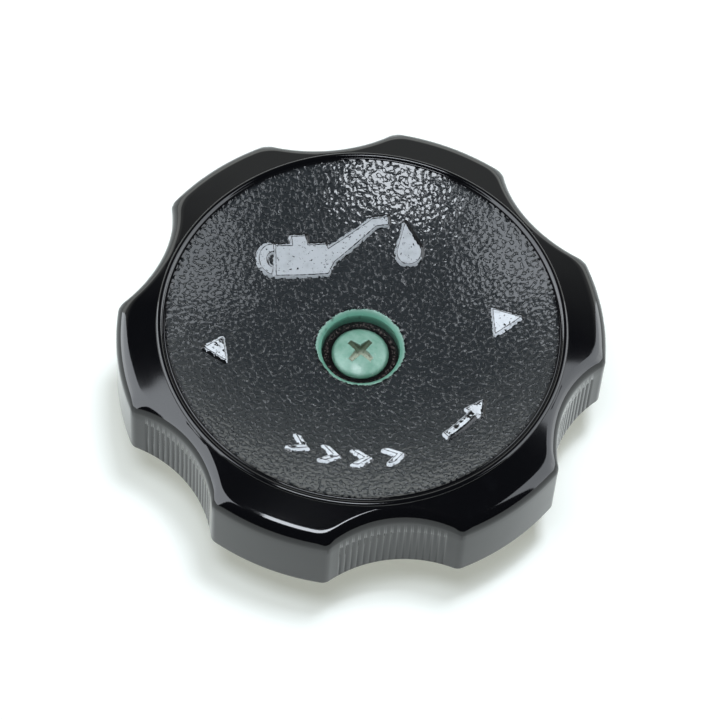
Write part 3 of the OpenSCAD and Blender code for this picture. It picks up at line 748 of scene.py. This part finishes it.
place_piece("raised_signs", sign_mesh, sign_paint, "cap_body")

# Screw
# A steel cross-recess screw that holds the knob to the spindle. Its domed head was painted green with the
# counterbore, and its recess is worn, with grime in it, painted shade in its upper arms and painted light in
# its lower arms.
screw_r, head_r, head_base, head_edge, head_dome = 2.45, 4.6, 16.55, 0.4, 1.3
screw_l, cross_half, cross_w, cross_depth, cross_turn = 12.0, 2.45, 0.85, 1.1, 40
recess_lip, recess_slope = 0.12, 0.42
head_sphere_r = (head_r ** 2 + head_dome ** 2) / (2 * head_dome)
head_top = head_base + head_edge + head_dome
cross_shape = [(cross_half, -cross_w / 2), (cross_half, cross_w / 2), (cross_w * 0.7, cross_w * 0.7)]
cross = []
for quarter in range(4):
    heading = math.radians(cross_turn + quarter * 90)
    c, s = math.cos(heading), math.sin(heading)
    cross += [(x * c - y * s, x * s + y * c) for x, y in cross_shape]
rows = [ring_points(r, z, even(96)) for r, z in (
    (screw_r - 0.5, head_base - screw_l), (screw_r, head_base - screw_l + 0.5), (screw_r, head_base),
    (head_r - 0.1, head_base), (head_r, head_base + 0.1), (head_r, head_base + head_edge - 0.12))]
for r in np.linspace(head_r - 0.03, 0.09, 52):
    rows.append(ring_points(r, 0, even(192 if r > 1 else 96)))
first = sum(len(r) for r in rows[:6])
points = np.vstack(rows)
r = np.hypot(points[first:, 0], points[first:, 1])
depth = depth_inside(points[first:, 0], points[first:, 1], cross)
sunk = np.clip((depth + recess_lip) / recess_slope, 0, 1)
sunk = sunk * sunk * (3 - 2 * sunk) * cross_depth * np.clip(1.15 - r / (cross_half * 1.25), 0.3, 1)
points[first:, 2] = head_top - head_sphere_r + np.sqrt(head_sphere_r ** 2 - r ** 2) - sunk
points[first:, 2] -= 0.1 * np.clip((r - head_r + 0.5) / 0.5, 0, 1) ** 2
quads, triangles = joined_rings(rows, closed=False)
start_end, last = list(range(96))[::-1], list(range(len(points) - 96, len(points)))
screw_mesh = build_mesh("screw", points, quads, triangles, [start_end, last], math.radians(50))
recess = np.zeros(len(points))
recess[first:] = np.clip((depth + 0.15) / 0.3, 0, 1)
screw_mesh.attributes.new("recess", "FLOAT", "POINT").data.foreach_set("value", recess)

# Green paint, satin, with painted shade round the head's edge, chipped pale in places. In the recess, specks
# of brown grime, with painted shade on the upper arms and painted light on the lower arms.
screw_paint, tree = new_material("green_painted_steel")
place = object_place(tree)
from_axis = axis_distance(tree, place)
recess_value = add(tree, "Attribute", attribute_name="recess").outputs["Fac"]
tone = ramp(tree, noise(tree, place, 1.2 * mm, 4.0, 0.6), 0.35, 0.75)
green = mixed(tree, tone, "#86ab9b", "#6f9c88")
# Painted shade: the green darkens towards the head's edge, where its side turns away from the light.
edge_shade = ramp(tree, from_axis, 3.9 * mm, 4.6 * mm, 0, 0.75)
green = mixed(tree, edge_shade, green, "#28513f")
chips = ramp(tree, noise(tree, place, 0.55 * mm, 4.0, 0.7), 0.67, 0.7)
green = mixed(tree, chips, green, "#b7bfb4")
# Painted shade and light: the recess is dark green towards the part's +Y side and pale grey towards its -Y
# side.
upper = add(tree, "SeparateXYZ", {0: place}).outputs["Y"]
uneven = ramp(tree, noise(tree, place, 0.6 * mm, 3.0), 0, 1, -0.8 * mm, 0.8 * mm, False)
upper = maths(tree, "ADD", upper, uneven)
dirt = mixed(tree, ramp(tree, upper, -0.7 * mm, 0.6 * mm), "#98a08d", "#3f4f3b")
dirt = mixed(tree, ramp(tree, noise(tree, place, 0.4 * mm, 3.0), 0.5, 0.7, 0, 0.7), dirt, "#3b3126")
colour = mixed(tree, ramp(tree, recess_value, 0.35, 0.8), green, dirt)
normal = bumps(tree, noise(tree, place, 0.8 * mm, 3.0), 0.03 * mm)
finish_surface(tree, colour, ramp(tree, recess_value, 0, 1, 0.28, 0.7), normal, IOR=1.5)
screw = place_piece("painted_screw", screw_mesh, screw_paint, "cap_body")
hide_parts("knob_screw")

# Washer
# A plain steel washer under the screw's head: painted black as shade under the head's edge and near its rim,
# by the counterbore wall, with a ring of brown, speckled steel between.
washer_steel, tree = new_material("washer_steel_with_painted_shade")
place = object_place(tree)
from_axis = axis_distance(tree, place)
wander = ramp(tree, noise(tree, place, 0.9 * mm, 4.0), 0, 1, -0.25 * mm, 0.25 * mm, False)
band_r = maths(tree, "ADD", from_axis, wander)
band_in, band_out = ramp(tree, band_r, 5.05 * mm, 5.25 * mm), ramp(tree, band_r, 5.85 * mm, 5.65 * mm)
band = maths(tree, "MULTIPLY", band_in, band_out)
speckle = ramp(tree, noise(tree, place, 0.5 * mm, 6.0, 0.85), 0.51, 0.6)
band = maths(tree, "MULTIPLY", band, speckle)
# Painted shade: black on either side of the band, under the head's edge and in the gap to the counterbore wall.
colour = mixed(tree, band, "#080707", "#6e625f")
normal = bumps(tree, noise(tree, place, 0.4 * mm, 2.0), 0.07 * mm)
finish_surface(tree, colour, 0.25, normal, Metallic=maths(tree, "MULTIPLY", band, 0.4))

# Zinc-plated steel
# The locking plate, the seal plate, the spring seat and the spindle: dull silver with a clouded yellow cast,
# a brown film of old oil, dark specks of grit and fine scratches along one direction.
zinc, tree = new_material("zinc_plated_steel")
place = object_place(tree)
cloud = ramp(tree, noise(tree, place, 7 * mm, 5.0, 0.6), 0.3, 0.7)
colour = mixed(tree, cloud, "#a9a79c", "#c2beae")
film = ramp(tree, noise(tree, place, 11 * mm, 6.0, 0.65), 0.52, 0.75, 0, 0.6)
colour = mixed(tree, film, colour, "#6b5f45")
grit = ramp(tree, noise(tree, place, 0.6 * mm, 4.0, 0.7), 0.62, 0.7, 0, 0.7)
colour = mixed(tree, grit, colour, "#3d3932")
rough = ramp(tree, noise(tree, place, 2.5 * mm, 4.0), 0.2, 0.8, 0.3, 0.5)
stretched = add(tree, "Mapping", {"Vector": place, "Scale": (1, 14, 1)}).outputs[0]
normal = bumps(tree, noise(tree, stretched, 1.2 * mm, 4.0, 0.7), 0.008 * mm)
normal = bumps(tree, noise(tree, place, 0.5 * mm, 3.0), 0.006 * mm, normal)
finish_surface(tree, colour, rough, normal, Metallic=1.0)

# Black rubber
# The gasket and the small ring on the spindle: black with a fine grain, a grey bloom, and gloss that varies
# with the oil on it.
rubber, tree = new_material("oily_black_rubber")
place = object_place(tree)
bloom = ramp(tree, noise(tree, place, 6 * mm, 5.0, 0.65), 0.5, 0.8, 0, 0.5)
colour = mixed(tree, bloom, "#121314", "#2b2c2d")
rough = ramp(tree, noise(tree, place, 4 * mm, 3.0), 0.35, 0.65, 0.32, 0.6)
finish_surface(tree, colour, rough, bumps(tree, noise(tree, place, 0.2 * mm, 2.0), 0.01 * mm), IOR=1.5)

# Fibre
# The thrust washer: pressed red-brown fibre, with short pale hairs and dark oil soaked into it.
fibre, tree = new_material("oiled_fibre")
place = object_place(tree)
hairs = add(tree, "Mapping", {"Vector": place, "Scale": (1, 5, 5)}).outputs[0]
hair = ramp(tree, noise(tree, hairs, 1.0 * mm, 4.0, 0.7), 0.5, 0.7)
colour = mixed(tree, hair, "#4a2a1c", "#7c5238")
soak = ramp(tree, noise(tree, place, 3 * mm, 4.0), 0.45, 0.65, 0, 0.7)
colour = mixed(tree, soak, colour, "#24150f")
finish_surface(tree, colour, 0.6, bumps(tree, hair, 0.02 * mm), IOR=1.5)

# Spring
# Round bright steel wire in four and a quarter turns, from the spring seat up to the roof of the knob's
# pocket. Its end turns lie flatter than the rest. The CAD's own spring has eight sides round the wire.
wire_r, coil_r, coil_turns, coil_low, coil_high = 0.7, 10.717, 4.25, 6.05, 15.95
flat_turns, flat_share = 0.6, 0.12
stations, sides = 340, 16
turn = np.linspace(0, coil_turns, stations)
climb = np.clip((turn - flat_turns) / (coil_turns - 2 * flat_turns), 0, 1)
share = flat_share * turn / coil_turns + (1 - flat_share) * climb
lift = coil_low + wire_r + (coil_high - coil_low - 2 * wire_r) * share
a, b = np.meshgrid(turn * 2 * np.pi, even(sides), indexing="ij")
r = coil_r + wire_r * np.cos(b)
points = np.stack([r * np.cos(a), r * np.sin(a), lift[:, None] + wire_r * np.sin(b)], -1).reshape(-1, 3)
i, j = np.meshgrid(np.arange(stations - 1) * sides, np.arange(sides), indexing="ij")
k = (j + 1) % sides
walls = np.stack([i + j, i + sides + j, i + sides + k, i + k], -1).reshape(-1, 4)
ends = [list(range(sides)), list(range(len(points) - sides, len(points)))[::-1]]
spring_mesh = build_mesh("spring_wire", points, [walls], polygons=ends)
spring_steel, tree = new_material("bright_spring_steel")
place = object_place(tree)
tint = ramp(tree, noise(tree, place, 3 * mm, 4.0), 0.35, 0.7)
colour = mixed(tree, tint, "#a7a6a2", "#7f7a70")
finish_surface(tree, colour, 0.3, bumps(tree, noise(tree, place, 0.4 * mm, 3.0), 0.006 * mm), Metallic=1.0)
spring = place_piece("spring_wire", spring_mesh, spring_steel, "cap_body")
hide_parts("seal_spring")
# The true share at full lift is 7.9 / 9.9, or 0.798. This one leaves the foot 0.03 off its seat there.
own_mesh(spring)

# The CAD nodes whose shapes are right keep them and take their finish here.
finishes = {"screw_washer": washer_steel, "locking_plate": zinc, "seal_plate": zinc, "spindle": zinc,
            "spring_seat": zinc, "gasket": rubber, "stem_oring": rubber, "thrust_washer": fibre}
for name, material in finishes.items():
    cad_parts[name].material_slots[0].material = material
